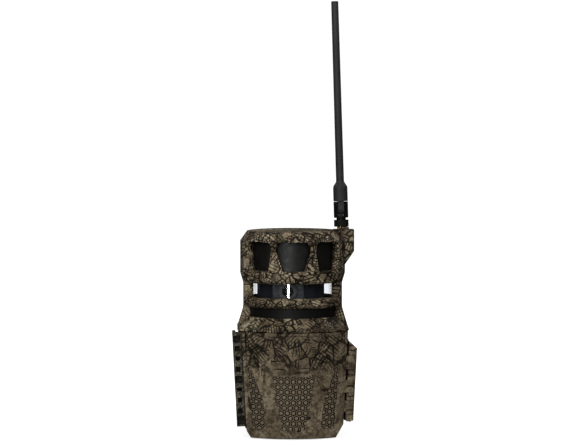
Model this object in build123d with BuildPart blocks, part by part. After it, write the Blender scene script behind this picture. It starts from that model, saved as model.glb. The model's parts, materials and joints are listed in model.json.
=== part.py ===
"""Cellular trail camera with a turning lens turret inside an all-round window.

Frame: millimetres, +Z up, the front looks along -Y.  The origin is at the mouth of the
tripod socket, in the bottom plane, straight under the turret's axis.
"""
from build123d import *
from math import cos, pi, radians, sin, sqrt, tan
import os

os.makedirs("parts", exist_ok=True)

# ---------------------------------------------------------------- driving dimensions
# Lower body: a box with a curved front, tapering towards the bottom.
body_top = 90.6
body_half_top = 46.6          # half width at body_top
body_half_bottom = 41.9       # half width at the bottom
front_reach_top = 46.2        # front's distance from the turret axis at body_top
front_reach_bottom = 43.4
front_radius = 58.0           # plan radius of the curved front
back_y = 40.0
back_corner = 9.0
front_corner = 3.0
wall = 2.6
split_y = -20.0               # plane where the door meets the housing
door_gap = 0.4
door_bottom = 0.6
door_top = 89.9
corner_cut_height = 11.2      # sloping bottom corners
corner_cut_half = 35.4        # half width left at the bottom

# Upper cage around the turret axis.
cage_top = 173.6
lid_top = 174.6
drum_radius = 44.6
waist_radius = 42.1
top_flat_radius = 38.9
column_half = 9.5             # half width of the two side columns
louvre_bottom = 109.3         # lower ring
louvre_top = 118.4
sill_bottom = 130.2           # middle ring
skirt_top = 101.5

# Windows and rings held in the cage.
window_outer = 34.5
window_inner = 32.5
window_bottom = 111.8
window_top = 136.0
ir_ring_outer = 38.2
ir_ring_inner = 36.0
ir_ring_top = 168.4
pir_outer = 37.4
pir_inner = 35.6
pir_bottom = 100.4
pir_top = 110.1

# Turret.
turret_radius = 31.0
turret_yaw = -9.0             # the lens looks a little left of straight ahead at rest
turret_bottom = 112.6
turret_top = 134.6
lens_height = 123.9
gear_module = 0.8
gear_teeth = 40
pinion_teeth = 12
gear_bottom = 98.6
gear_width = 4.0

# Antenna.
antenna_x = 41.6
antenna_lean = 1.75           # degrees towards -X
boss_reach = 52.2
boss_top = 174.7
whip_top = 193.7              # distances along the antenna's own axis from the boss
collar_radius = 6.2
barrel_radius = 6.15
whip_radius = 3.35
pivot_height = 17.6

# Standard parts.
tripod_thread_radius = 3.175  # 1/4 inch thread
cell_radius = 7.2             # AA cell
cell_length = 50.0
pin_radius = 1.25
screw_radius = 1.25


# ---------------------------------------------------------------- shared shapes
def side_half(level):
    """Half width of the lower body at a height."""
    return body_half_bottom + (body_half_top - body_half_bottom) * level / body_top


def front_reach(level):
    """Distance from the turret axis to the middle of the front at a height."""
    return front_reach_bottom + (front_reach_top - front_reach_bottom) * level / body_top


def body_outline(level, inset, grow=0.0):
    """Plan of the lower body: curved front, straight sides, flat back."""
    half = side_half(level) - inset + grow
    reach = front_reach(level) - inset + grow
    radius = front_radius - inset + grow
    centre_y = radius - reach
    side_y = centre_y - sqrt(radius ** 2 - half ** 2)
    rear = back_y - inset
    with BuildSketch(Plane.XY.offset(level)) as outline:
        with BuildLine():
            ThreePointArc((-half, side_y), (0, -reach), (half, side_y))
            Line((half, side_y), (half, rear))
            Line((half, rear), (-half, rear))
            Line((-half, rear), (-half, side_y))
        make_face()
        fillet(outline.vertices().group_by(Axis.Y)[-1], max(back_corner - inset, 1.0))
        fillet(outline.vertices().group_by(Axis.Y)[0], max(front_corner - inset, 0.6))
    return outline.sketch


def body_block(inset=0.0, bottom=0.0, top=body_top):
    """The lower body as a solid, pulled in by inset all round, bottom corners sloped."""
    with BuildPart() as block:
        loft(sections=[body_outline(bottom, inset), body_outline(top, inset)], ruled=True)
        for side in (-1, 1):
            slope_half = side_half(corner_cut_height) - inset
            with BuildSketch(Plane.XZ.offset(-60)):
                with BuildLine():
                    Polyline(
                        (side * (corner_cut_half - inset), 0),
                        (side * slope_half, corner_cut_height),
                        (side * (slope_half + 8), corner_cut_height),
                        (side * (slope_half + 8), -8),
                        (side * (corner_cut_half - inset - 6), -8),
                        close=True,
                    )
                make_face()
            extrude(amount=140, mode=Mode.SUBTRACT)
    return block.part


def ring(inner, outer, bottom, top):
    """A plain ring or, with inner 0, a disc about the turret axis."""
    with BuildPart() as made:
        with BuildSketch(Plane.XY.offset(bottom)):
            Circle(outer)
            if inner > 0:
                Circle(inner, mode=Mode.SUBTRACT)
        extrude(amount=top - bottom)
    return made.part


def turned(points):
    """A solid turned about the turret axis from (radius, height) corners."""
    with BuildPart() as made:
        with BuildSketch(Plane.XZ):
            with BuildLine():
                Polyline(*points, close=True)
            make_face()
        revolve(axis=Axis.Z)
    return made.part


def block(x_range, y_range, z_range):
    """A plain block between two limits on each axis."""
    with BuildPart() as made:
        with Locations((sum(x_range) / 2, sum(y_range) / 2, sum(z_range) / 2)):
            Box(x_range[1] - x_range[0], y_range[1] - y_range[0], z_range[1] - z_range[0])
    return made.part


def rod(radius, start, end):
    """A round rod between two points."""
    direction = Vector(*end) - Vector(*start)
    with BuildPart() as made:
        with BuildSketch(Plane(origin=start, z_dir=direction)):
            Circle(radius)
        extrude(amount=direction.length)
    return made.part


def flat_plate(points, y_front, y_rear):
    """A plate with an (x, z) outline between two Y planes."""
    with BuildPart() as made:
        with BuildSketch(Plane.XZ.offset(-y_rear)):
            with BuildLine():
                Polyline(*points, close=True)
            make_face()
        extrude(amount=y_rear - y_front)
    return made.part


def write(node, label):
    """Give a finished piece its label and write it."""
    node.part.label = label
    export_step(node.part, f"parts/{label}.step")


# ---------------------------------------------------------------- hinge and latch frames
side_slope = (body_half_top - body_half_bottom) / body_top
hinge_radius = 4.0
hinge_offset = 4.45           # pin centre outside the body's side
hinge_frame = Plane(
    origin=(body_half_bottom + hinge_offset, split_y, 0),
    x_dir=(1, 0, -side_slope),
    z_dir=(side_slope, 0, 1),
)
latch_frame = Plane(
    origin=(-body_half_bottom, 0, 0),
    x_dir=(-1, 0, -side_slope),
    z_dir=(-side_slope, 0, 1),
)


def in_frame(frame, level):
    """A sketch plane across a leaning axis, at a distance along it."""
    return frame.offset(level)


# Knuckles from the top down: owner, lowest and highest level along the pin.
housing_knuckles = [(69.3, 82.6), (48.5, 57.1), (31.1, 37.4), (13.9, 21.0)]
door_knuckles = [(57.4, 69.0), (37.7, 48.2), (21.3, 30.8)]
knuckle_grooves = [72.9, 43.2, 18.1]


def knuckle(low, high, side):
    """One hinge knuckle with its web; side +1 joins the housing, -1 joins the door."""
    web_inner = 0.5
    with BuildPart() as made:
        with BuildSketch(in_frame(hinge_frame, low)):
            Circle(hinge_radius)
            with Locations((-3.4, side * (web_inner + hinge_radius) / 2)):
                Rectangle(6.8, hinge_radius - web_inner)
            Circle(pin_radius + 0.05, mode=Mode.SUBTRACT)
        extrude(amount=high - low)
        for level in knuckle_grooves:
            if low < level < high:
                with BuildSketch(in_frame(hinge_frame, level - 0.25)):
                    Circle(hinge_radius + 1)
                    Circle(hinge_radius - 0.5, mode=Mode.SUBTRACT)
                    with Locations((-5, 0)):
                        Rectangle(6, 14, mode=Mode.SUBTRACT)
                extrude(amount=0.5, mode=Mode.SUBTRACT)
    return made.part


# ---------------------------------------------------------------- rear housing
cage_screw_spots = [(x, y) for x in (-41.0, 41.0) for y in (-6.5, 6.5)]
cable_bore_x = 40.4
latch_pivot = (2.7, 0.0)      # outward and forward from the latch frame's origin
latch_pin_radius = 1.0
latch_barrel = 2.35
latch_lugs = [(14.5, 19.6), (45.4, 54.6), (80.4, 85.5)]
bracket_screw_spots = [(x, z) for x in (-21.0, 21.0) for z in (20.0, 70.0)]
tripod_depth = 7.5

with BuildPart() as rear_housing:
    add(body_block())
    add(body_block(inset=wall, bottom=wall, top=body_top - wall), mode=Mode.SUBTRACT)
    add(block((-60, 60), (-80, split_y), (-5, 95)), mode=Mode.SUBTRACT)
    # Opening in the top wall under the turret's drive.
    add(block((-26, 26), (-12, 33), (80, 95)), mode=Mode.SUBTRACT)
    # Boss for the tripod insert.
    add(rod(7.0, (0, 0, 0), (0, 0, tripod_depth + 1.1)))
    add(rod(4.6, (0, 0, -1), (0, 0, tripod_depth)), mode=Mode.SUBTRACT)
    # Bosses behind the bracket screws.
    for x, z in bracket_screw_spots:
        add(rod(3.4, (x, back_y - 8, z), (x, back_y - 1, z)))
        add(rod(screw_radius, (x, back_y - 7, z), (x, back_y + 1, z)), mode=Mode.SUBTRACT)
    for x, y in cage_screw_spots:
        add(rod(1.45, (x, y, 85), (x, y, 95)), mode=Mode.SUBTRACT)
    add(rod(1.4, (cable_bore_x, 0, 85), (cable_bore_x, 0, 95)), mode=Mode.SUBTRACT)
    # Hinge knuckles on the right, the top one cut to a sloping shoulder.
    for low, high in housing_knuckles:
        add(knuckle(low, high, 1))
    add(flat_plate([(46.9, 81.45), (57, 72.5), (57, 90), (46.9, 90)], -30, -10), mode=Mode.SUBTRACT)
    # Latch lugs on the left.
    for low, high in latch_lugs:
        with BuildSketch(in_frame(latch_frame, low)):
            with Locations(latch_pivot):
                Circle(latch_barrel)
            with Locations((latch_pivot[0] / 2 - 0.3, 0)):
                Rectangle(latch_pivot[0] + 0.6, 2 * latch_barrel)
            with Locations(latch_pivot):
                Circle(latch_pin_radius, mode=Mode.SUBTRACT)
        extrude(amount=high - low)
write(rear_housing, "rear_housing")

# ---------------------------------------------------------------- front door
# Panels of the door's front: (x, z) outlines for the right half, and their depths.
centre_panel = [(-18.0, 53.0), (18.0, 53.0), (9.4, 8.0), (-9.4, 8.0)]
side_panel = [
    (39.4, 61.0),
    (36.4, 60.0),
    (32.0, 49.5),
    (25.6, 33.0),
    (22.8, 8.4),
    (34.4, 8.4),
    (35.7, 29.0),
    (37.4, 49.0),
]
upper_panel = [(-43.5, 87.6), (43.5, 87.6), (43.5, 72.5), (13.4, 56.2), (-13.4, 56.2), (-43.5, 72.5)]
honeycomb_depth = 1.4
upper_depth = 0.5
latch_recess = 2.9            # the door's left side is set in by this for the latch


def front_pocket(points, depth, side=1):
    """What a pocket of even depth takes out of the door's curved front."""
    outline = [(side * x, z) for x, z in points]
    with BuildPart() as made:
        add(flat_plate(outline, -60, split_y - 5))
        add(body_block(inset=depth), mode=Mode.SUBTRACT)
    return made.part


with BuildPart() as front_door:
    add(body_block(bottom=door_bottom, top=door_top))
    add(body_block(inset=wall, bottom=door_bottom + wall, top=door_top - wall), mode=Mode.SUBTRACT)
    add(block((-60, 60), (split_y - door_gap, 80), (-5, 95)), mode=Mode.SUBTRACT)
    add(front_pocket(centre_panel, honeycomb_depth), mode=Mode.SUBTRACT)
    add(front_pocket(side_panel, honeycomb_depth), mode=Mode.SUBTRACT)
    add(front_pocket(side_panel, honeycomb_depth, -1), mode=Mode.SUBTRACT)
    add(front_pocket(upper_panel, upper_depth), mode=Mode.SUBTRACT)
    # Left side set in for the latch, with a new wall inside it.
    with BuildSketch(in_frame(latch_frame, -5)):
        with Locations((-latch_recess - wall / 2, 25.2)):
            Rectangle(wall, 9.6)
    extrude(amount=110)
    with BuildSketch(in_frame(latch_frame, -5)):
        with Locations((10 - latch_recess, 30)):
            Rectangle(20, 40)
    extrude(amount=110, mode=Mode.SUBTRACT)
    add(block((-60, 60), (-80, 0), (-20, door_bottom)), mode=Mode.SUBTRACT)
    add(block((-60, 60), (-80, 0), (door_top, 120)), mode=Mode.SUBTRACT)
    for low, high in door_knuckles:
        add(knuckle(low, high, -1))
    # Cut everything outside the sloping bottom corner again.
    for side in (-1, 1):
        add(
            flat_plate(
                [(side * 35.4, 0), (side * 42.48, 11.2), (side * 60, 11.2), (side * 60, -5), (side * 33, -5)],
                -80,
                0,
            ),
            mode=Mode.SUBTRACT,
        )
write(front_door, "front_door")

with BuildPart() as door_gasket:
    gasket_thickness = 0.25
    add(body_block(inset=0.7, bottom=0.7, top=body_top - 0.7))
    add(body_block(inset=wall - 0.3, bottom=wall - 0.3, top=body_top - wall + 0.3), mode=Mode.SUBTRACT)
    add(block((-60, 60), (-80, split_y - gasket_thickness), (-5, 95)), mode=Mode.SUBTRACT)
    add(block((-60, 60), (split_y, 80), (-5, 95)), mode=Mode.SUBTRACT)
    with BuildSketch(in_frame(latch_frame, -5)):
        with Locations((10 - latch_recess + 0.4, 30)):
            Rectangle(20, 40)
    extrude(amount=110, mode=Mode.SUBTRACT)
write(door_gasket, "door_gasket")

with BuildPart() as hinge_pin:
    with BuildSketch(in_frame(hinge_frame, 13.9)):
        Circle(pin_radius)
    extrude(amount=62)
    with BuildSketch(in_frame(hinge_frame, 12.9)):
        Circle(2.2)
    extrude(amount=1.0)
write(hinge_pin, "hinge_pin")

# ---------------------------------------------------------------- latch
latch_levels = (9.7, 89.4)
latch_barrels = [(20.0, 45.0), (55.0, 80.0)]
latch_outer = 5.1
latch_inner = -2.5
latch_back = 20.3
latch_front = 27.5
# Pockets down the latch's front: middle level, height and width.
latch_pockets = [
    (83.6, 5.8, 5.8),
    (75.9, 4.2, 4.2),
    (67.2, 3.5, 3.6),
    (58.1, 4.4, 3.8),
    (49.6, 6.2, 5.4),
    (41.1, 3.0, 4.6),
    (32.2, 4.0, 3.8),
    (23.0, 4.3, 3.8),
    (14.8, 7.0, 5.8),
]

with BuildPart() as latch_lever:
    with BuildSketch(in_frame(latch_frame, latch_levels[0])):
        with BuildLine():
            Polyline(
                (latch_inner, latch_back),
                (latch_inner, latch_front),
                (latch_outer - 1.2, latch_front),
                (latch_outer, latch_front - 1.2),
                (latch_outer, 3.2),
                (2.2, 3.2),
                (2.2, latch_back - 2.0),
                (0.9, latch_back),
                close=True,
            )
        make_face()
    extrude(amount=latch_levels[1] - latch_levels[0])
    for low, high in latch_barrels:
        with BuildSketch(in_frame(latch_frame, low)):
            with Locations(latch_pivot):
                Circle(latch_barrel)
            with Locations((latch_pivot[0] + 0.9, 2.2)):
                Rectangle(2.9, 4.4)
            with Locations(latch_pivot):
                Circle(latch_pin_radius + 0.06, mode=Mode.SUBTRACT)
        extrude(amount=high - low)
    for middle, height, width in latch_pockets:
        with BuildSketch(in_frame(latch_frame, middle - height / 2)):
            with Locations(((latch_outer + latch_inner) / 2, latch_front - 1.7)):
                Rectangle(width, 3.6)
        extrude(amount=height, mode=Mode.SUBTRACT)
write(latch_lever, "latch_lever")

with BuildPart() as latch_pin:
    with BuildSketch(in_frame(latch_frame, 14.0)):
        with Locations(latch_pivot):
            Circle(latch_pin_radius)
    extrude(amount=72)
write(latch_pin, "latch_pin")

# ---------------------------------------------------------------- upper cage
window_turns = [0.0, 42.4, 137.6, 180.0, 222.4, 317.6]
window_outline = [(8.9, 141.3), (14.4, 157.5), (14.4, 161.3), (11.4, 165.9)]
side_window_outline = [(9.6, 141.3), (12.2, 157.5), (12.2, 161.3), (10.2, 165.9)]
jack_bore = 3.2
boss_half = 8.4
deck_screw_ring = 36.3
deck_screw_spots = [
    (deck_screw_ring * cos(radians(turn)), deck_screw_ring * sin(radians(turn)))
    for turn in (45, 135, 225, 315)
]
antenna_tilt = radians(antenna_lean)
antenna_frame = Plane(
    origin=(antenna_x, 0, boss_top),
    x_dir=(cos(antenna_tilt), 0, sin(antenna_tilt)),
    z_dir=(-sin(antenna_tilt), 0, cos(antenna_tilt)),
)


def window_cutter(turn, outline):
    """A window's opening, cut straight through one side of the drum."""
    points = outline + [(-x, z) for x, z in reversed(outline)]
    with BuildPart() as made:
        add(flat_plate(points, -60, -30))
    return made.part.rotate(Axis.Z, turn)


with BuildPart() as upper_cage:
    # Skirt, waist and drum.
    loft(
        sections=[body_outline(body_top, 0, 0.6), body_outline(body_top + 1.4, 0, 0.5)],
        ruled=True,
    )
    with BuildSketch(Plane.XY.offset(body_top + 26)) as waist_circle:
        Circle(waist_radius - 2.2)
    loft(sections=[body_outline(body_top + 1.4, 0, 0.5), waist_circle.sketch])
    add(
        turned(
            [
                (0, 108),
                (42.3, 108),
                (waist_radius, 112),
                (waist_radius, 129.8),
                (drum_radius, 138.3),
                (drum_radius, 165.6),
                (top_flat_radius, cage_top),
                (0, cage_top),
            ]
        )
    )
    # Antenna boss on the right.
    with BuildPart(mode=Mode.PRIVATE) as boss:
        add(
            flat_plate(
                [
                    (30, cage_top - 6),
                    (30, 145.6),
                    (44.5, 145.6),
                    (boss_reach, 156.7),
                    (boss_reach, boss_top),
                    (34.4, boss_top),
                    (34.4, cage_top - 6),
                ],
                -boss_half,
                boss_half,
            )
        )
        outer_edges = boss.edges().filter_by(Axis.Y, reverse=True).group_by(Axis.X)[-1]
        fillet(outer_edges, 2.6)
        fillet(boss.edges().group_by(Axis.Z)[-1], 0.5)
    add(boss.part)
    with BuildSketch(in_frame(antenna_frame, -0.4)):
        Circle(6.9)
    with BuildSketch(in_frame(antenna_frame, 2.0)):
        Circle(6.1)
    loft(ruled=True)
    # Bands open between the side columns: sensor band with the sloping skirt, then the lens window.
    with BuildPart(mode=Mode.PRIVATE) as bands:
        add(
            turned(
                [
                    (37.0, skirt_top),
                    (38.4, skirt_top),
                    (47.0, body_top + 1.4),
                    (60, body_top + 1.4),
                    (60, 112.6),
                    (42.2, 112.6),
                    (41.5, 111.0),
                    (39.6, 109.9),
                    (37.0, louvre_bottom),
                ]
            )
        )
        add(
            turned(
                [
                    (34.0, louvre_top),
                    (39.0, 118.0),
                    (41.2, 116.7),
                    (42.2, 114.8),
                    (60, 114.8),
                    (60, 131.9),
                    (42.8, 131.9),
                    (40.6, 130.5),
                    (34.0, sill_bottom),
                ]
            )
        )
        add(block((-60, 60), (-column_half, column_half), (80, 140)), mode=Mode.SUBTRACT)
    add(bands.part, mode=Mode.SUBTRACT)
    # The posts stand back a little between the header and the sill.
    with BuildPart(mode=Mode.PRIVATE) as post_band:
        add(
            turned(
                [
                    (43.3, 142.6),
                    (44.0, 141.2),
                    (60, 140.0),
                    (60, 166.6),
                    (44.2, 165.3),
                    (43.3, 163.9),
                ]
            )
        )
        add(block((-60, 60), (-22.5, 22.5), (80, 170)), mode=Mode.SUBTRACT)
    add(post_band.part, mode=Mode.SUBTRACT)
    for turn in window_turns:
        outline = window_outline if turn in (0.0, 180.0) else side_window_outline
        add(window_cutter(turn, outline), mode=Mode.SUBTRACT)
    # Inside.
    add(
        turned(
            [
                (0, 90),
                (37.5, 90),
                (37.5, 96.2),
                (35.5, 96.2),
                (35.5, pir_bottom - 0.1),
                (37.5, pir_bottom - 0.1),
                (37.5, pir_top + 0.1),
                (32.8, pir_top + 0.1),
                (32.8, window_bottom),
                (window_outer + 0.1, window_bottom),
                (window_outer + 0.1, 138.3),
                (38.4, 138.3),
                (38.4, 180),
                (0, 180),
            ]
        ),
        mode=Mode.SUBTRACT,
    )
    # Wall kept between the lid's seat and the boss, the boss's cavity and the jack's bore.
    add(block((34.4, 39.4), (-boss_half, boss_half), (169.6, boss_top)))
    add(block((39.6, 48.8), (-5.4, 5.4), (155.4, 170.6)), mode=Mode.SUBTRACT)
    with BuildSketch(in_frame(antenna_frame, -4.4)):
        Circle(jack_bore)
    extrude(amount=12, mode=Mode.SUBTRACT)
    add(rod(1.1, (cable_bore_x, 0, 88), (cable_bore_x, 0, 157)), mode=Mode.SUBTRACT)
    for x, y in cage_screw_spots:
        add(rod(screw_radius, (x, y, 89), (x, y, 99)), mode=Mode.SUBTRACT)
    for x, y in deck_screw_spots:
        add(rod(0.7, (x, y, 95), (x, y, 98.2)), mode=Mode.SUBTRACT)
write(upper_cage, "upper_cage")

with BuildPart() as top_lid:
    dome_rise = 0.7
    lid_radius = 38.2
    lid_bottom = 170.6
    dome_reach = lid_radius - 0.5
    dome_radius = (dome_reach ** 2 + dome_rise ** 2) / (2 * dome_rise)
    dome_middle = lid_top - dome_radius + sqrt(dome_radius ** 2 - (dome_reach / 2) ** 2)
    with BuildSketch(Plane.XZ):
        with BuildLine():
            Polyline(
                (0, lid_bottom),
                (lid_radius, lid_bottom),
                (lid_radius, lid_top - dome_rise - 0.5),
                (dome_reach, lid_top - dome_rise),
            )
            ThreePointArc((dome_reach, lid_top - dome_rise), (dome_reach / 2, dome_middle), (0, lid_top))
            Line((0, lid_top), (0, lid_bottom))
        make_face()
    revolve(axis=Axis.Z)
    add(ring(0, 34.0, lid_bottom - 1, lid_bottom + 1.4), mode=Mode.SUBTRACT)
    add(block((34.2, 45), (-10, 10), (165, 180)), mode=Mode.SUBTRACT)
write(top_lid, "top_lid")

with BuildPart() as lid_seal:
    add(ring(36.6, 38.2, 169.8, 170.6))
    add(block((34.2, 45), (-10, 10), (165, 180)), mode=Mode.SUBTRACT)
write(lid_seal, "lid_seal")

with BuildPart() as cage_screws:
    for x, y in cage_screw_spots:
        add(rod(screw_radius, (x, y, 88), (x, y, 98)))
        add(rod(2.3, (x, y, 86), (x, y, 88)))
write(cage_screws, "cage_screws")

# ---------------------------------------------------------------- windows and sensor rings
with BuildPart() as ir_window_ring:
    add(ring(ir_ring_inner, ir_ring_outer, 140.2, ir_ring_top))
write(ir_window_ring, "ir_window_ring")

with BuildPart() as led_deck:
    add(ring(5, ir_ring_outer, 138.3, 140.2))
write(led_deck, "led_deck")

led_sides = 8
led_board_apothem = 32.0
led_board_thickness = 1.2
led_board_height = 26.0
with BuildPart() as led_board:
    with BuildSketch(Plane.XY.offset(140.2)):
        RegularPolygon(led_board_apothem, led_sides, major_radius=False, rotation=22.5)
        inner_apothem = led_board_apothem - led_board_thickness
        RegularPolygon(inner_apothem, led_sides, major_radius=False, rotation=22.5, mode=Mode.SUBTRACT)
    extrude(amount=led_board_height)
write(led_board, "led_board")

with BuildPart() as ir_leds:
    for side in range(led_sides):
        turn = radians(45 * side)
        outward = Vector(cos(turn), sin(turn), 0)
        across = Vector(-sin(turn), cos(turn), 0)
        for level in (146.5, 153.2, 159.9):
            for shift in (-8.0, -2.7, 2.7, 8.0):
                foot = outward * led_board_apothem + across * shift + Vector(0, 0, level)
                add(rod(1.5, tuple(foot), tuple(foot + outward * 1.6)))
write(ir_leds, "ir_leds")

with BuildPart() as clear_window:
    add(ring(window_inner, window_outer, window_bottom + 0.8, window_top - 0.6))
write(clear_window, "clear_window")

with BuildPart() as window_seals:
    add(ring(32.9, window_outer, window_bottom, window_bottom + 0.8))
    add(ring(32.9, window_outer, window_top - 0.6, window_top + 1.4))
write(window_seals, "window_seals")

with BuildPart() as pir_band:
    add(ring(pir_inner, pir_outer, pir_bottom, pir_top))
write(pir_band, "pir_band")

pir_turns = [90, 150, 210, 270, 330, 30]
with BuildPart() as pir_board:
    add(ring(25.0, 34.6, 97.2, 98.4))
write(pir_board, "pir_board")

with BuildPart() as pir_sensors:
    for turn in pir_turns:
        outward = Vector(cos(radians(turn)), sin(radians(turn)), 0)
        foot = outward * 29.0 + Vector(0, 0, 103.2)
        add(rod(4.1, tuple(foot), tuple(foot + outward * 4.4)))
        post = outward * 30.2
        add(rod(0.9, (post.X, post.Y, 98.4), (post.X, post.Y, 101)))
write(pir_sensors, "pir_sensors")

# ---------------------------------------------------------------- turret drive
spigot_radius = 9.9
spigot_bore = 6.0
spigot_top = 110.2
motor_distance = gear_module * (gear_teeth + pinion_teeth) / 2
shaft_radius = 1.0
race_bottom = 104.2
race_top = 109.2
ball_radius = 1.55
ball_circle = 14.0

with BuildPart() as turret_deck:
    add(ring(0, 37.3, 93.2, 96.2))
    add(ring(0, 11.4, 96.2, race_bottom))
    add(ring(0, spigot_radius, race_bottom, spigot_top))
    add(ring(0, spigot_bore, 90, 120), mode=Mode.SUBTRACT)
    add(rod(6.3, (0, motor_distance, 90), (0, motor_distance, 98)), mode=Mode.SUBTRACT)
    # Shelf for the sensor board.
    add(ring(24.6, 34.8, 96.2, 97.2))
    for x, y in deck_screw_spots:
        add(rod(0.7, (x, y, 90), (x, y, 98)), mode=Mode.SUBTRACT)
write(turret_deck, "turret_deck")

with BuildPart() as deck_screws:
    for x, y in deck_screw_spots:
        add(rod(0.7, (x, y, 93.2), (x, y, 98)))
        add(rod(1.2, (x, y, 92.2), (x, y, 93.2)))
write(deck_screws, "deck_screws")

motor_ears = (-12.8, 12.8)
with BuildPart() as stepper_motor:
    add(rod(10.0, (0, motor_distance, 76.5), (0, motor_distance, 92.2)))
    add(rod(4.5, (0, motor_distance, 92.2), (0, motor_distance, 93.6)))
    add(block((-15.5, 15.5), (motor_distance - 3.4, motor_distance + 3.4), (92.2, 93.2)))
    add(rod(shaft_radius + 0.06, (0, motor_distance, 79.6), (0, motor_distance, 95)), mode=Mode.SUBTRACT)
    for x in motor_ears:
        add(rod(0.8, (x, motor_distance, 90), (x, motor_distance, 95)), mode=Mode.SUBTRACT)
write(stepper_motor, "stepper_motor")

with BuildPart() as motor_shaft:
    add(rod(shaft_radius, (0, motor_distance, 80.0), (0, motor_distance, gear_bottom + gear_width)))
write(motor_shaft, "motor_shaft")

with BuildPart() as motor_screws:
    for x in motor_ears:
        add(rod(0.8, (x, motor_distance, 92.2), (x, motor_distance, 93.2)))
        add(rod(1.6, (x, motor_distance, 91.0), (x, motor_distance, 92.2)))
write(motor_screws, "motor_screws")


def toothed_wheel(teeth, bore, bottom, width, turn, centre=(0.0, 0.0)):
    """A spur wheel with slim tapered teeth, one of them pointing along turn."""
    pitch = gear_module * teeth / 2
    root = pitch - 1.25 * gear_module
    tip = pitch + 0.75 * gear_module
    with BuildSketch() as tooth:
        with BuildLine():
            Polyline(
                (root - 0.3, -0.62 * gear_module),
                (root + 0.15, -0.6 * gear_module),
                (tip, -0.2 * gear_module),
                (tip, 0.2 * gear_module),
                (root + 0.15, 0.6 * gear_module),
                (root - 0.3, 0.62 * gear_module),
                close=True,
            )
        make_face()
    with BuildPart() as made:
        with BuildSketch(Plane((centre[0], centre[1], bottom))):
            Circle(root)
            with PolarLocations(0, teeth, turn):
                add(tooth.sketch)
            Circle(bore, mode=Mode.SUBTRACT)
        extrude(amount=width)
    return made.part


with BuildPart() as turret_gear:
    add(toothed_wheel(gear_teeth, 13.2, gear_bottom, gear_width, 90))
write(turret_gear, "turret_gear")

with BuildPart() as motor_pinion:
    first_tooth = -90 + 180 / pinion_teeth
    add(toothed_wheel(pinion_teeth, shaft_radius, gear_bottom, gear_width, first_tooth, (0, motor_distance)))
write(motor_pinion, "motor_pinion")

with BuildPart() as bearing_inner:
    add(ring(spigot_radius, ball_circle - ball_radius - 0.05, race_bottom, race_top))
write(bearing_inner, "bearing_inner")

with BuildPart() as bearing_balls:
    with Locations((0, 0, (race_bottom + race_top) / 2)):
        with PolarLocations(ball_circle, 12):
            Sphere(ball_radius)
write(bearing_balls, "bearing_balls")

# ---------------------------------------------------------------- turret
turret_turn = radians(turret_yaw)
turret_across = Vector(cos(turret_turn), sin(turret_turn), 0)
turret_forward = Vector(sin(turret_turn), -cos(turret_turn), 0)
back_drum_radius = 26.3
shell = 1.8
face_half = 13.3              # flat face around the lens
face_y = -27.2
race_outer = 17.9
hub_radius = 21.0


def turret_plane(level):
    """A level plane turned with the turret: its -Y is where the lens looks."""
    return Plane(origin=(0, 0, level), x_dir=turret_across, z_dir=(0, 0, 1))


def turret_outline(level, inset=0.0):
    """Plan of the turret's drum: a round back and a wider faceted front."""
    shield_radius = turret_radius - inset
    turns = [67.5, 45.0, 25.4]
    right = [(shield_radius * sin(radians(t)), -shield_radius * cos(radians(t))) for t in turns]
    front = [(face_half, face_y + inset)]
    points = right + front + [(-x, y) for x, y in reversed(right + front)]
    back = (back_drum_radius - inset) * 0.9
    with BuildSketch(turret_plane(level)) as outline:
        Circle(back_drum_radius - inset)
        with BuildLine():
            Polyline(*points, (-back, 0), (back, 0), close=True)
        make_face()
    return outline.sketch


def lens_point(across, forward, level=None):
    """A point in the turret, from its distances across and towards the lens."""
    height = lens_height if level is None else level
    return tuple(turret_across * across + turret_forward * forward + Vector(0, 0, height))


with BuildPart() as turret_carrier:
    add(turret_outline(turret_bottom))
    extrude(amount=turret_top - 1.6 - turret_bottom)
    add(turret_outline(turret_bottom + shell, shell))
    extrude(amount=40, mode=Mode.SUBTRACT)
    add(ring(0, 5.6, 100, 120), mode=Mode.SUBTRACT)
    # Hub around the bearing's outer race, with a flange under it for the gear.
    add(ring(race_outer, hub_radius, gear_bottom + gear_width, turret_bottom))
    add(ring(13.4, hub_radius, gear_bottom + gear_width, race_bottom))
    add(rod(6.05, lens_point(0, 20), lens_point(0, 40)), mode=Mode.SUBTRACT)
write(turret_carrier, "turret_carrier")

with BuildPart() as turret_cap:
    add(turret_outline(turret_top - 1.6))
    extrude(amount=1.6)
write(turret_cap, "turret_cap")

with BuildPart() as bearing_outer:
    add(ring(ball_circle + ball_radius + 0.05, race_outer, race_bottom, race_top))
write(bearing_outer, "bearing_outer")

with BuildPart() as lens_barrel:
    add(rod(6.0, lens_point(0, 14.5), lens_point(0, 28.8)))
    add(rod(7.6, lens_point(0, 27.2), lens_point(0, 29.2)))
    add(rod(4.7, lens_point(0, 26.2), lens_point(0, 31)), mode=Mode.SUBTRACT)
    add(rod(3.0, lens_point(0, 10), lens_point(0, 31)), mode=Mode.SUBTRACT)
write(lens_barrel, "lens_barrel")

with BuildPart() as lens_glass:
    add(rod(4.65, lens_point(0, 26.3), lens_point(0, 28.6)))
write(lens_glass, "lens_glass")

with BuildPart() as lens_retainer:
    add(rod(6.4, lens_point(0, 29.2), lens_point(0, 30.1)))
    add(rod(4.9, lens_point(0, 28), lens_point(0, 31)), mode=Mode.SUBTRACT)
write(lens_retainer, "lens_retainer")

with BuildPart() as image_sensor_board:
    with BuildSketch(turret_plane(lens_height - 8)):
        with Locations((0, -9.4)):
            Rectangle(26, 1.2)
    extrude(amount=16)
    with BuildSketch(turret_plane(lens_height - 4)):
        with Locations((0, -10.5)):
            Rectangle(8, 1.0)
    extrude(amount=8)
write(image_sensor_board, "image_sensor_board")

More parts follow.
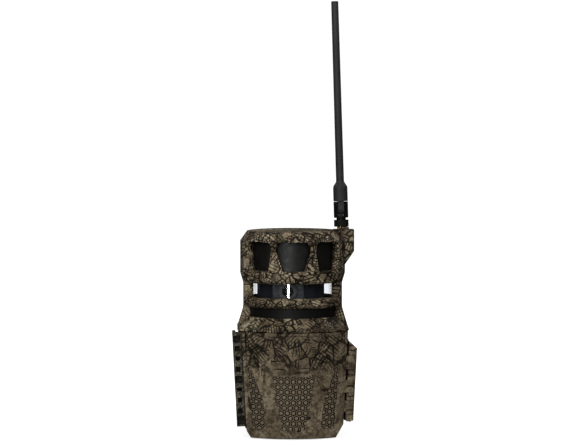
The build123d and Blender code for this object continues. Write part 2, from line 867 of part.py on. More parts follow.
filter_travel = 9.0
with BuildPart() as ir_cut_filter:
    with BuildSketch(turret_plane(lens_height - 4.5)):
        with Locations((filter_travel / 2, -12.7)):
            Rectangle(18, 0.9)
    extrude(amount=9)
write(ir_cut_filter, "ir_cut_filter")

# ---------------------------------------------------------------- antenna
jack_radius = 3.1
jack_tail = -12.0
jack_flat = 39.8              # the jack's flange is flat on its inner side
jack_top = 6.2
collar_levels = (2.5, 8.0)
grip_flutes = 18
base_levels = (10.0, pivot_height)
stub_radius = 4.0
cheek_radius = 6.0
tongue_radius = 5.4
tongue_half = 2.4
slot_half = 2.65
knuckle_pin_radius = 1.2
barrel_bottom = 24.0
barrel_top = 34.9
shoulder_top = 41.4


def along_antenna(low, high, radius, bore=0.0):
    """A round length of the antenna between two distances from the boss."""
    with BuildPart() as made:
        with BuildSketch(in_frame(antenna_frame, low)):
            Circle(radius)
            if bore > 0:
                Circle(bore, mode=Mode.SUBTRACT)
        extrude(amount=high - low)
    return made.part


pivot_origin = antenna_frame.from_local_coords(Vector(0, 0, pivot_height))
across_plane = Plane(origin=pivot_origin, x_dir=antenna_frame.y_dir, z_dir=antenna_frame.x_dir)


def across_antenna(half_width, radius, start=None):
    """A disc about the fold axis, half_width each way, or from start to half_width."""
    begin = -half_width if start is None else start
    with BuildPart() as made:
        with BuildSketch(across_plane.offset(begin)):
            Circle(radius)
        extrude(amount=half_width - begin)
    return made.part


with BuildPart() as sma_jack:
    add(along_antenna(-6.4, -4.3, 4.4))
    add(block((30, jack_flat), (-10, 10), (150, 175)), mode=Mode.SUBTRACT)
    add(along_antenna(-4.3, jack_top, jack_radius))
    add(along_antenna(jack_tail, -6.4, 1.9))
    add(along_antenna(3.4, jack_top + 1, 2.3), mode=Mode.SUBTRACT)
    add(along_antenna(2.0, 5.8, 0.5))
write(sma_jack, "sma_jack")

with BuildPart() as antenna_collar:
    add(along_antenna(*collar_levels, collar_radius, jack_radius + 0.06))
    add(along_antenna(jack_top + 0.3, collar_levels[1] + 1, stub_radius + 0.1), mode=Mode.SUBTRACT)
    # Grip flutes.
    with BuildSketch(in_frame(antenna_frame, collar_levels[0] + 0.7)):
        with PolarLocations(collar_radius + 0.15, grip_flutes):
            Circle(0.5)
    extrude(amount=collar_levels[1] - collar_levels[0] - 1.4, mode=Mode.SUBTRACT)
write(antenna_collar, "antenna_collar")

with BuildPart() as antenna_base:
    add(along_antenna(jack_top + 0.4, base_levels[0], stub_radius))
    add(along_antenna(jack_top + 0.3, jack_top + 1.0, 1.2), mode=Mode.SUBTRACT)
    add(along_antenna(*base_levels, barrel_radius))
    with BuildPart(mode=Mode.PRIVATE) as cheeks:
        add(along_antenna(base_levels[1] - 0.5, barrel_bottom, barrel_radius))
        add(across_antenna(10, cheek_radius), mode=Mode.INTERSECT)
    add(cheeks.part)
    with BuildSketch(in_frame(antenna_frame, pivot_height - tongue_radius - 0.35)):
        Rectangle(2 * slot_half, 20)
    extrude(amount=20, mode=Mode.SUBTRACT)
    add(across_antenna(10, knuckle_pin_radius), mode=Mode.SUBTRACT)
write(antenna_base, "antenna_base")

with BuildPart() as antenna_pin:
    add(across_antenna(5.7, knuckle_pin_radius))
write(antenna_pin, "antenna_pin")

with BuildPart() as straight_whip:
    with BuildSketch(Plane.XZ):
        with BuildLine():
            Polyline(
                (0, barrel_bottom),
                (barrel_radius - 0.3, barrel_bottom),
                (barrel_radius, barrel_bottom + 0.3),
                (barrel_radius, barrel_top),
            )
            Spline(
                (barrel_radius, barrel_top),
                (whip_radius + 0.05, shoulder_top),
                tangents=[(0, 1), (-0.12, 1)],
            )
            Polyline(
                (whip_radius + 0.05, shoulder_top),
                (whip_radius - 0.3, whip_top - 0.6),
                (whip_radius - 0.9, whip_top),
                (0, whip_top),
                (0, barrel_bottom),
            )
        make_face()
    revolve(axis=Axis.Z)

with BuildPart() as antenna_whip:
    add(antenna_frame.location * straight_whip.part)
    with BuildPart(mode=Mode.PRIVATE) as tongue:
        with BuildSketch(in_frame(antenna_frame, pivot_height)):
            Rectangle(2 * tongue_half, 2 * tongue_radius - 0.6)
        extrude(amount=barrel_bottom + 0.2 - pivot_height)
        add(across_antenna(tongue_half, tongue_radius))
    add(tongue.part)
    add(across_antenna(10, knuckle_pin_radius + 0.05), mode=Mode.SUBTRACT)
write(antenna_whip, "antenna_whip")

# Lead from the jack, down the side column, to the modem: straight runs joined by arcs.
lead_radius = 0.65
lead_points = [
    tuple(antenna_frame.from_local_coords(Vector(0, 0, jack_tail))),
    (41.9, 0, 160.4),
    (cable_bore_x, 0, 157.2),
    (cable_bore_x, 0, 85.0),
    (38.4, 6.0, 79.0),
    (33.5, 14.5, 76.0),
    (27.5, 22.5, 75.4),
    (24.4, 27.4, 70.0),
    (24.0, 27.3, 58.0),
]


def arc_radii(points, share=0.45):
    """The largest arc at each corner that leaves part of its shorter run straight."""
    radii = []
    for before, corner, after in zip(points, points[1:], points[2:]):
        run_in = Vector(*corner) - Vector(*before)
        run_out = Vector(*after) - Vector(*corner)
        half_turn = radians(run_in.get_angle(run_out)) / 2
        radii.append(share * min(run_in.length, run_out.length) / tan(half_turn))
    return radii


lead_radii = arc_radii(lead_points)
with BuildPart() as antenna_lead:
    with BuildLine() as lead_route:
        FilletPolyline(*lead_points, radius=lead_radii)
    start = Vector(*lead_points[0])
    with BuildSketch(Plane(origin=start, z_dir=Vector(*lead_points[1]) - start)):
        Circle(lead_radius)
    sweep(path=lead_route.wires()[0])
write(antenna_lead, "antenna_lead")

# ---------------------------------------------------------------- inside the lower body
board_front = 22.0
board_rear = 23.6
board_spots = [(x, z) for x in (-31.0, 31.0) for z in (14.0, 68.0)]
with BuildPart() as main_board:
    add(flat_plate([(-36, 9), (36, 9), (38, 72), (-38, 72)], board_front, board_rear))
    for x, z in board_spots:
        add(rod(1.6, (x, board_front - 1, z), (x, board_rear + 1, z)), mode=Mode.SUBTRACT)
    add(block((-14, 2), (board_rear, board_rear + 1.4), (30, 46)))
    add(block((-30, -20), (board_rear, board_rear + 1.2), (50, 60)))
write(main_board, "main_board")

with BuildPart() as board_pillars:
    for x, z in board_spots:
        add(rod(3.2, (x, board_rear, z), (x, back_y - wall - 0.05, z)))
        add(rod(1.2, (x, board_front - 1.4, z), (x, board_rear, z)))
        add(rod(2.4, (x, board_front - 1.4, z), (x, board_front, z)))
write(board_pillars, "board_pillars")

with BuildPart() as cellular_module:
    add(block((10, 36), (board_rear, board_rear + 2.6), (34, 60)))
    add(block((22, 26), (board_rear + 2.6, board_rear + 4.8), (53.6, 58)))
write(cellular_module, "cellular_module")

tray_half = 33.0
tray_bottom = 8.9
tray_top = 65.4
tray_front = -16.8
tray_rear = 16.6
tray_floor = 1.1
contact = 0.5
spring = 1.5
cell_bottom = tray_bottom + tray_floor + contact + spring
cell_top = cell_bottom + cell_length
cell_columns = (-23.7, -7.9, 7.9, 23.7)
cell_spots = [(x, y) for y in (-8.4, 7.4) for x in cell_columns]
tray_roof = cell_top + contact + spring
nub = 1.2
with BuildPart() as battery_tray:
    add(block((-tray_half, tray_half), (tray_front, tray_rear), (tray_bottom, tray_top)))
    for x, y in cell_spots:
        add(
            rod(cell_radius + 0.35, (x, y, tray_bottom + tray_floor), (x, y, tray_roof)),
            mode=Mode.SUBTRACT,
        )
    add(
        block(
            (-tray_half + 1.6, tray_half - 1.6),
            (tray_front - 1, cell_spots[0][1]),
            (tray_bottom + tray_floor, tray_roof),
        ),
        mode=Mode.SUBTRACT,
    )
    for x in cell_columns:
        add(block((x - 5.4, x + 5.4), (8, 20), (18, 56)), mode=Mode.SUBTRACT)
write(battery_tray, "battery_tray")

with BuildPart() as batteries:
    for index, (x, y) in enumerate(cell_spots):
        can_low = cell_bottom + (0 if index % 2 else nub)
        can_high = cell_top - (nub if index % 2 else 0)
        add(rod(cell_radius, (x, y, can_low), (x, y, can_high)))
        add(rod(2.7, (x, y, cell_bottom), (x, y, cell_top)))
write(batteries, "batteries")

# Contact plates, each with its spring.
with BuildPart() as battery_contacts:
    for x, y in cell_spots:
        for plate_low, spring_low in (
            (tray_bottom + tray_floor, cell_bottom - spring),
            (cell_top + spring, cell_top),
        ):
            add(block((x - 4.5, x + 4.5), (y - 4.5, y + 4.5), (plate_low, plate_low + contact)))
            add(rod(2.4, (x, y, spring_low), (x, y, spring_low + spring)))
write(battery_contacts, "battery_contacts")

# Control panel behind the door, above the cells.
panel_front = -19.0
panel_rear = -17.2
panel_bottom = 66.2
panel_top = 87.3
control_board_front = -14.2
button_x = 6.0
button_levels = {"button_up": 82.2, "button_ok": 76.4, "button_down": 70.6}
button_radius = 2.1
switch_levels = (79.0, 82.2)
card_levels = (69.1, 71.2)
with BuildPart() as control_panel:
    add(
        flat_plate(
            [(-41.4, panel_bottom), (41.4, panel_bottom), (42.6, panel_top), (-42.6, panel_top)],
            panel_front,
            panel_rear,
        )
    )
    add(block((-35, -3), (-30, 0), (68.4, 84.8)), mode=Mode.SUBTRACT)
    for z in button_levels.values():
        add(rod(button_radius + 0.25, (button_x, -30, z), (button_x, 0, z)), mode=Mode.SUBTRACT)
    add(block((15, 26), (-30, 0), (switch_levels[0] - 0.3, switch_levels[1] + 0.3)), mode=Mode.SUBTRACT)
    slot_levels = (card_levels[0] - 0.35, card_levels[1] + 0.35)
    add(block((13.7, 38.3), (-30, 0), slot_levels), mode=Mode.SUBTRACT)
write(control_panel, "control_panel")

with BuildPart() as control_board:
    add(block((-40, 40), (control_board_front, control_board_front + 1.4), (67.2, 86.4)))
    add(block((13.0, 39.0), (-30, 0), (68.0, 72.4)), mode=Mode.SUBTRACT)
    for x in (-38, 38):
        add(rod(1.6, (x, panel_rear, 84.4), (x, control_board_front, 84.4)))
    add(rod(1.6, (-38, panel_rear, 69.4), (-38, control_board_front, 69.4)))
write(control_board, "control_board")

with BuildPart() as lcd_screen:
    add(block((-34.8, -3.2), (-18.4, control_board_front), (68.6, 84.6)))
write(lcd_screen, "lcd_screen")

for label, z in button_levels.items():
    with BuildPart() as button:
        add(rod(button_radius, (button_x, -19.9, z), (button_x, -16.6, z)))
        add(rod(2.7, (button_x, -16.8, z), (button_x, -15.6, z)))
    write(button, label)

with BuildPart() as power_switch:
    add(block((15.4, 20.2), (-20.4, -16.4), switch_levels))
    add(block((14.0, 21.6), (-16.8, -15.4), (switch_levels[0] - 1.2, switch_levels[1] + 1.2)))
write(power_switch, "power_switch")

with BuildPart() as sd_card:
    add(block((14.0, 38.0), (-21.4, 10.0), card_levels))
write(sd_card, "sd_card")

with BuildPart() as card_socket:
    add(block((13.2, 38.8), (-12.4, 13.0), (67.8, 72.5)))
    bay_levels = (card_levels[0] - 0.25, card_levels[1] + 0.25)
    add(block((13.75, 38.25), (-13, 12.0), bay_levels), mode=Mode.SUBTRACT)
write(card_socket, "card_socket")

with BuildPart() as tripod_insert:
    add(rod(4.6, (0, 0, 0), (0, 0, tripod_depth)))
    add(rod(tripod_thread_radius, (0, 0, -1), (0, 0, tripod_depth - 1.0)), mode=Mode.SUBTRACT)
write(tripod_insert, "tripod_insert")

# ---------------------------------------------------------------- tree bracket
bracket_half = 29.0
bracket_plate = 3.0
ear_depth = 13.0
strap_slot = (44.2, 49.4)     # Y limits of the slots
strap_levels = (31.0, 59.0)   # Z limits of the slots
grip_notches = 8
grip_start = 25.5
grip_pitch = 5.6
with BuildPart() as tree_bracket:
    add(block((-bracket_half, bracket_half), (back_y, back_y + bracket_plate), (13, 77)))
    for side in (-1, 1):
        x_low, x_high = sorted((side * (bracket_half - 5), side * bracket_half))
        add(block((x_low, x_high), (back_y + bracket_plate, back_y + ear_depth), (22, 68)))
        # Grip teeth along the ear.
        ear_end = back_y + ear_depth
        for step in range(grip_notches):
            z = grip_start + grip_pitch * step
            notch = block((x_low - 1, x_high + 1), (ear_end - 1.6, ear_end + 1), (z, z + 2.4))
            add(notch, mode=Mode.SUBTRACT)
    add(block((-40, 40), strap_slot, strap_levels), mode=Mode.SUBTRACT)
    for x, z in bracket_screw_spots:
        add(rod(1.5, (x, 30, z), (x, 60, z)), mode=Mode.SUBTRACT)
write(tree_bracket, "tree_bracket")

with BuildPart() as bracket_screws:
    for x, z in bracket_screw_spots:
        add(rod(screw_radius, (x, back_y - 6.5, z), (x, back_y + bracket_plate, z)))
        add(rod(2.5, (x, back_y + bracket_plate, z), (x, back_y + bracket_plate + 1.8, z)))
write(bracket_screws, "bracket_screws")
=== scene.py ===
import json
import math
import random

import bpy
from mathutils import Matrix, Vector


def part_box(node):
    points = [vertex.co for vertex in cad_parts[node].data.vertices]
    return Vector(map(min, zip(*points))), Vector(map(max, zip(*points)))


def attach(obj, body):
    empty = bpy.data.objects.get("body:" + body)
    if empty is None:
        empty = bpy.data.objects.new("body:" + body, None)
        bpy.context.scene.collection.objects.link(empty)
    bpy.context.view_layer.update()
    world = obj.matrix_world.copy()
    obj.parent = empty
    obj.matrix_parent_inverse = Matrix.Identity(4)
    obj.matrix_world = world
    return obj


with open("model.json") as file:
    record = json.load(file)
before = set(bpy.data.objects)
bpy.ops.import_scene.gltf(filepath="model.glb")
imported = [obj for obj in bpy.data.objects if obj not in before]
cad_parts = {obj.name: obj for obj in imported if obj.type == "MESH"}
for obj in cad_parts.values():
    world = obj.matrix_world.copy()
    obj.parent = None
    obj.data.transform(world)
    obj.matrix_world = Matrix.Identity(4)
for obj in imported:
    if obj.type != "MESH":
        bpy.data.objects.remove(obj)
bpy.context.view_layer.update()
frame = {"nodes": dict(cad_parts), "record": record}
nodes = frame["nodes"]
MM = 0.001


# ---------------------------------------------------------------- camera, light and floor
CAMERA_DISTANCE = 2.5
CAMERA_AZIMUTH = math.radians(-1.2)
CAMERA_ELEVATION = math.radians(3.0)
AIM = Vector((1.2 * MM, 0, 182.2 * MM))
LAMP_AIM = Vector((0, 0, 0.15))

scene = bpy.context.scene
scene.view_settings.view_transform = "Standard"
scene.view_settings.look = "None"

away = Vector((
    math.sin(CAMERA_AZIMUTH) * math.cos(CAMERA_ELEVATION),
    -math.cos(CAMERA_AZIMUTH) * math.cos(CAMERA_ELEVATION),
    math.sin(CAMERA_ELEVATION),
))
camera_data = bpy.data.cameras.new("camera")
camera_data.lens = 180.0
camera_data.sensor_width = 36.0
camera = bpy.data.objects.new("camera", camera_data)
camera.location = AIM + away * CAMERA_DISTANCE
camera.rotation_mode = "QUATERNION"
camera.rotation_quaternion = (-away).to_track_quat("-Z", "Y")
scene.collection.objects.link(camera)
scene.camera = camera


def softbox(name, azimuth, elevation, distance, width, height, power):
    """A rectangular lamp that faces the object from that direction."""
    lamp = bpy.data.lights.new(name, "AREA")
    lamp.shape = "RECTANGLE"
    lamp.size = width
    lamp.size_y = height
    lamp.energy = power
    a, e = math.radians(azimuth), math.radians(elevation)
    back = Vector((math.sin(a) * math.cos(e), -math.cos(a) * math.cos(e), math.sin(e)))
    lamp_object = bpy.data.objects.new(name, lamp)
    lamp_object.location = LAMP_AIM + back * distance
    lamp_object.rotation_mode = "QUATERNION"
    lamp_object.rotation_quaternion = (-back).to_track_quat("-Z", "Y")
    scene.collection.objects.link(lamp_object)


# Name, azimuth and elevation in degrees, distance, width and height in metres, watts.
# The key is narrow and reaches below the horizon, so the window mirrors it as a bright upright line.
LAMPS = (
    ("key", -13.0, 14.4, 1.25, 0.13, 0.95, 10.5),
    ("front_right", 32, 28, 1.7, 0.5, 0.7, 7),
    ("front_left", -42, 26, 1.7, 0.4, 0.7, 6.5),
    ("overhead", 0, 64, 1.2, 0.9, 0.4, 4.5),
    ("back_left", 215, 46, 1.8, 0.7, 0.8, 11),
    ("back_right", 140, 46, 1.8, 0.7, 0.8, 11),
)
for lamp in LAMPS:
    softbox(*lamp)

BACKDROP_STRENGTH = 1.05
ROOM_LIGHT_STRENGTH = 0.10
world = bpy.data.worlds.new("studio")
scene.world = world
world.use_nodes = True
world_nodes = world.node_tree.nodes
world_links = world.node_tree.links
world_nodes.clear()
seen = world_nodes.new("ShaderNodeBackground")
seen.inputs["Color"].default_value = (1, 1, 1, 1)
seen.inputs["Strength"].default_value = BACKDROP_STRENGTH
lighting = world_nodes.new("ShaderNodeBackground")
lighting.inputs["Color"].default_value = (0.93, 0.96, 1.0, 1)
lighting.inputs["Strength"].default_value = ROOM_LIGHT_STRENGTH
path = world_nodes.new("ShaderNodeLightPath")
choose = world_nodes.new("ShaderNodeMixShader")
world_output = world_nodes.new("ShaderNodeOutputWorld")
world_links.new(path.outputs["Is Camera Ray"], choose.inputs["Fac"])
world_links.new(lighting.outputs[0], choose.inputs[1])
world_links.new(seen.outputs[0], choose.inputs[2])
world_links.new(choose.outputs[0], world_output.inputs["Surface"])


# ---------------------------------------------------------------- material nodes
def tone(red, green, blue):
    """The linear colour of a display colour given as 0 to 255."""
    linear = [
        ((channel / 255 + 0.055) / 1.055) ** 2.4 if channel > 10 else channel / 255 / 12.92
        for channel in (red, green, blue)
    ]
    return tuple(linear) + (1.0,)


class Graph:
    """Builds one material. Every texture reads the place on the object, in metres."""

    def __init__(self, name):
        self.material = bpy.data.materials.new(name)
        self.material.use_nodes = True
        self.tree = self.material.node_tree
        self.tree.nodes.clear()
        self.output = self.tree.nodes.new("ShaderNodeOutputMaterial")
        self.place = self.tree.nodes.new("ShaderNodeTexCoord").outputs["Object"]

    def node(self, kind, **settings):
        made = self.tree.nodes.new(kind)
        for key, value in settings.items():
            setattr(made, key, value)
        return made

    def feed(self, socket, value):
        """Links a socket, or sets the plain value."""
        if isinstance(value, bpy.types.NodeSocket):
            self.tree.links.new(value, socket)
        elif value is not None:
            socket.default_value = value

    def math(self, operation, a, b=None, clamp=False):
        made = self.node("ShaderNodeMath", operation=operation, use_clamp=clamp)
        self.feed(made.inputs[0], a)
        self.feed(made.inputs[1], b)
        return made.outputs[0]

    def vector(self, operation, a, b=None, scale=None):
        made = self.node("ShaderNodeVectorMath", operation=operation)
        self.feed(made.inputs[0], a)
        self.feed(made.inputs[1], b)
        if scale is not None:
            self.feed(made.inputs["Scale"], scale)
        return made.outputs["Value" if operation in ("DOT_PRODUCT", "LENGTH") else "Vector"]

    def noise(self, scale, detail=3.0, place=None, output="Fac"):
        made = self.node("ShaderNodeTexNoise")
        self.feed(made.inputs["Vector"], place or self.place)
        self.feed(made.inputs["Scale"], scale)
        self.feed(made.inputs["Detail"], detail)
        return made.outputs[output]

    def cells(self, scale, place=None, feature="F1", output="Distance"):
        made = self.node("ShaderNodeTexVoronoi", feature=feature)
        self.feed(made.inputs["Vector"], place or self.place)
        self.feed(made.inputs["Scale"], scale)
        return made.outputs[output]

    def axes(self, place=None):
        made = self.node("ShaderNodeSeparateXYZ")
        self.feed(made.inputs[0], place or self.place)
        return made.outputs

    def shifted(self, amount, scale, detail=2.0):
        """The place moved about by noise, so that lines aren't ruled."""
        noise = self.noise(scale, detail, output="Color")
        centred = self.vector("SUBTRACT", noise, (0.5, 0.5, 0.5))
        return self.vector("ADD", self.place, self.vector("SCALE", centred, scale=amount))

    def step(self, value, low, high, bottom=0.0, top=1.0):
        made = self.node("ShaderNodeMapRange", interpolation_type="SMOOTHSTEP")
        for index, number in enumerate((value, low, high, bottom, top)):
            self.feed(made.inputs[index], number)
        return made.outputs[0]

    def mix(self, factor, a, b):
        made = self.node("ShaderNodeMix", data_type="RGBA")
        self.feed(made.inputs["Factor"], factor)
        self.feed(made.inputs[6], a)
        self.feed(made.inputs[7], b)
        return made.outputs[2]

    def bump(self, height, strength, distance, normal=None):
        made = self.node("ShaderNodeBump")
        made.inputs["Strength"].default_value = strength
        made.inputs["Distance"].default_value = distance
        self.feed(made.inputs["Height"], height)
        self.feed(made.inputs["Normal"], normal)
        return made.outputs[0]

    def rounded(self, radius):
        """A normal that softens the piece's edges by that radius."""
        made = self.node("ShaderNodeBevel", samples=4)
        made.inputs["Radius"].default_value = radius
        return made.outputs[0]

    def painted_corner_shade(self, colour, reach, darkest):
        """The colour with painted shade: darker in corners and slots that are narrower than that reach."""
        made = self.node("ShaderNodeAmbientOcclusion", samples=4)
        made.inputs["Distance"].default_value = reach
        share = self.step(made.outputs["AO"], 0.25, 0.95, darkest, 1.0)
        return self.vector("SCALE", colour, scale=share)

    def surface(self, colour, roughness, normal=None, **constants):
        """The finished plastic, rubber or metal. Constants are the shader's own sockets."""
        made = self.node("ShaderNodeBsdfPrincipled")
        self.feed(made.inputs["Base Color"], colour)
        self.feed(made.inputs["Roughness"], roughness)
        self.feed(made.inputs["Normal"], normal)
        for key, value in constants.items():
            made.inputs[key.replace("_", " ")].default_value = value
        self.tree.links.new(made.outputs[0], self.output.inputs["Surface"])
        return self.material


def moulded(name, dark, light, roughness=0.45, grain=900, strength=0.5, **constants):
    """Moulded plastic or rubber: a fine grain, a cloudy tone and softened edges."""
    g = Graph(name)
    cloud = g.noise(35, 4)
    fine = g.noise(grain, 2)
    colour = g.mix(g.step(cloud, 0.35, 0.68), dark, light)
    rough = g.step(fine, 0.3, 0.7, roughness - 0.06, roughness + 0.08)
    normal = g.bump(fine, strength, 0.03 * MM, g.rounded(0.25 * MM))
    return g.surface(colour, rough, normal, **constants)


def metal(name, colour, roughness=0.3, brushed=500):
    """Plated or brushed metal with faint wear."""
    g = Graph(name)
    worn = g.noise(160, 4)
    darker = tuple(c * 0.62 for c in colour[:3]) + (1,)
    shade = g.mix(g.step(worn, 0.4, 0.75), colour, darker)
    fine = g.noise(brushed, 3)
    rough = g.step(fine, 0.3, 0.75, roughness - 0.08, roughness + 0.16)
    normal = g.bump(fine, 0.25, 0.01 * MM, g.rounded(0.12 * MM))
    return g.surface(shade, rough, normal, Metallic=1.0)


def camo(
    name,
    light,
    middle,
    dark,
    ink,
    lines=0.96,
    cell=122,
    pitch=470,
    reach=3.0,
    calm=None,
    hatched=0.28,
    latticed=0.55,
):
    """Bark print on moulded plastic: plates with cracked edges, many of them hatched.

    Cell and pitch are plates and hatch lines for each metre. Hatched and latticed are the shares
    of plates left without lines. Below the two heights in calm the lines thin out, as on the lower
    half of the door. The hinge's knuckles have plain level ribs in place of the print, their
    grooves darkened as painted shade. Reach is how far, in millimetres, painted shade darkens the
    corners and slots.
    """
    g = Graph(name)
    place = g.shifted(0.9 * MM, 260)
    plate = g.cells(cell, place, output="Color")
    plate_red, plate_green, plate_blue = g.axes(plate)
    heading = g.vector("NORMALIZE", g.vector("SUBTRACT", plate, (0.5, 0.5, 0.5)))
    along = g.math("MULTIPLY", g.vector("DOT_PRODUCT", place, heading), pitch)
    hatch = g.step(g.math("PINGPONG", along, 0.5), 0.21, 0.11)
    hatch = g.math("MULTIPLY", hatch, g.math("GREATER_THAN", plate_red, hatched))
    side = g.vector("NORMALIZE", g.vector("CROSS_PRODUCT", heading, (0.0, 1.0, 0.0)))
    across = g.math("MULTIPLY", g.vector("DOT_PRODUCT", place, side), pitch * 0.8)
    lattice = g.step(g.math("PINGPONG", across, 0.5), 0.16, 0.08)
    lattice = g.math("MULTIPLY", lattice, g.math("GREATER_THAN", plate_blue, latticed))
    crack = g.step(g.cells(cell, place, "DISTANCE_TO_EDGE"), 0.085, 0.035)
    crack = g.math("MULTIPLY", crack, g.step(g.noise(120, 2), 0.42, 0.48))
    twig = g.step(g.cells(cell * 2.2, g.shifted(3.5 * MM, 130), "DISTANCE_TO_EDGE"), 0.09, 0.04)
    twig = g.math("MULTIPLY", twig, g.step(g.noise(75, 2), 0.52, 0.57))
    drawn = g.math("MAXIMUM", g.math("MAXIMUM", hatch, lattice), g.math("MAXIMUM", crack, twig))
    if calm:
        broken = g.math("GREATER_THAN", g.noise(55, 2), 0.62)
        share = g.math("MAXIMUM", g.step(g.axes()[2], calm[0] * MM, calm[1] * MM), broken)
        drawn = g.math("MULTIPLY", drawn, share)
    across_x, _, up = g.axes()
    beyond = g.math("SUBTRACT", across_x, g.math("MULTIPLY", up, HINGE_SLOPE))
    below = g.math("LESS_THAN", up, HINGE_TOP)
    hinge = g.math("MULTIPLY", g.math("GREATER_THAN", beyond, HINGE_EDGE), below)
    # painted shade: dark level lines in the grooves between the knuckle ribs, which are also bumped
    ribs = g.step(g.noise(330, 1, g.vector("MULTIPLY", g.place, (0.0, 0.0, 1.0))), 0.46, 0.40)
    printed = g.math("MULTIPLY", drawn, g.math("SUBTRACT", 1.0, hinge))
    drawn = g.math("MAXIMUM", printed, g.math("MULTIPLY", ribs, hinge))
    colour = g.mix(g.step(g.noise(42, 3), 0.40, 0.62), middle, light)
    colour = g.mix(g.step(plate_green, 0.70, 0.88, 0.0, 0.5), colour, dark)
    speck = g.noise(620, 3)
    mottle = g.step(g.noise(230, 4), 0.46, 0.62, 0.0, 0.6)
    colour = g.mix(mottle, colour, dark)
    colour = g.mix(g.step(speck, 0.46, 0.66, 0.0, 0.6), colour, dark)
    colour = g.mix(g.math("MULTIPLY", drawn, lines), colour, ink)
    # painted shade: the colour darkens in corners, slots and seams, where shade falls
    colour = g.painted_corner_shade(colour, reach * MM, 0.08)
    height = g.math("SUBTRACT", g.math("MULTIPLY", speck, 0.25), drawn)
    rough = g.step(speck, 0.3, 0.7, 0.52, 0.70)
    normal = g.bump(height, 0.7, 0.35 * MM, g.rounded(0.45 * MM))
    return g.surface(colour, rough, normal, Specular_IOR_Level=0.05)


SIDE_BOTTOM = 41.9            # half width of the lower body at its bottom, in millimetres
HINGE_SLOPE = 0.0519          # how much wider the body gets with height
HINGE_EDGE = 43.2 * MM
HINGE_TOP = 84 * MM
CAMO_LIGHT = tone(142, 129, 107)
CAMO_MIDDLE = tone(96, 85, 68)
CAMO_DARK = tone(36, 29, 19)
INK = tone(9, 7, 3)

looks = {
    "camo_shell": camo("camo_shell", CAMO_LIGHT, CAMO_MIDDLE, CAMO_DARK, INK),
    "camo_door": camo(
        "camo_door", tone(112, 101, 83), tone(87, 77, 62), CAMO_DARK, INK, lines=0.86, cell=85,
        pitch=430, calm=(46, 66), hatched=0.6, latticed=0.8,
    ),
    # The latch strip's painted shade in corners and slots reaches 7 millimetres.
    "camo_latch": camo(
        "camo_latch", tone(98, 92, 80), tone(72, 67, 57), tone(36, 33, 27), tone(9, 8, 5),
        lines=0.7, reach=7.0,
    ),
    "seal_rubber": moulded("seal_rubber", tone(18, 18, 18), tone(30, 30, 30), 0.7),
    "steel": metal("steel", tone(176, 176, 172)),
    "brass": metal("brass", tone(196, 158, 86)),
    "ir_window": moulded(
        "ir_window", tone(9, 8, 7), tone(12, 11, 9), 0.42, grain=260, strength=0.12,
        Specular_IOR_Level=0.22,
    ),
    "black_plastic": moulded("black_plastic", tone(16, 16, 17), tone(24, 24, 25), 0.5),
    "led_epoxy": moulded("led_epoxy", tone(60, 20, 40), tone(90, 40, 60), 0.12, strength=0.1),
    "pir_lens": moulded(
        "pir_lens", tone(9, 9, 8), tone(12, 12, 11), 0.5, strength=0.2, Specular_IOR_Level=0.1,
    ),
    "gear_plastic": moulded("gear_plastic", tone(206, 204, 196), tone(222, 220, 212), 0.4),
    "turret_plastic": moulded(
        "turret_plastic", tone(18, 22, 28), tone(27, 29, 32), 0.42, grain=420, strength=0.03,
        Specular_IOR_Level=0.2,
    ),
    "antenna_collar": moulded(
        "antenna_collar", tone(10, 10, 8), tone(13, 13, 11), 0.5, Specular_IOR_Level=0.1,
    ),
    "antenna_plastic": moulded(
        "antenna_plastic", tone(8, 8, 8), tone(11, 11, 11), 0.45, Specular_IOR_Level=0.08,
    ),
    "antenna_rubber": moulded(
        "antenna_rubber", tone(28, 28, 28), tone(36, 36, 36), 0.6, grain=1400,
        Specular_IOR_Level=0.2,
    ),
    "lead_jacket": moulded("lead_jacket", tone(26, 26, 27), tone(36, 36, 37), 0.5),
    "panel_plastic": moulded("panel_plastic", tone(38, 38, 38), tone(52, 52, 52), 0.55),
    "button_rubber": moulded("button_rubber", tone(92, 92, 94), tone(120, 120, 122), 0.62),
    "card_plastic": moulded("card_plastic", tone(24, 40, 74), tone(32, 52, 92), 0.42),
    "bracket_plastic": camo(
        "bracket_plastic", tone(124, 114, 96), tone(98, 90, 74), tone(56, 50, 40), INK,
        lines=0.8,
    ),
}


def board(name):
    """Solder mask with copper traces and small tinned pads."""
    g = Graph(name)
    trace = g.node("ShaderNodeTexBrick")
    g.feed(trace.inputs["Vector"], g.place)
    trace.inputs["Scale"].default_value = 180
    trace.inputs["Mortar Size"].default_value = 0.04
    traces = g.math("SUBTRACT", 1.0, trace.outputs["Fac"])
    pads = g.step(g.cells(420), 0.22, 0.16)
    pads = g.math("MULTIPLY", pads, g.step(g.noise(90), 0.55, 0.6))
    colour = g.mix(g.noise(60), tone(18, 62, 40), tone(26, 84, 54))
    colour = g.mix(g.step(traces, 0.7, 1.0, 0.35, 0.0), colour, tone(60, 120, 74))
    colour = g.mix(pads, colour, tone(190, 186, 172))
    normal = g.bump(pads, 0.4, 0.05 * MM)
    return g.surface(colour, g.step(pads, 0.0, 1.0, 0.42, 0.3), normal)


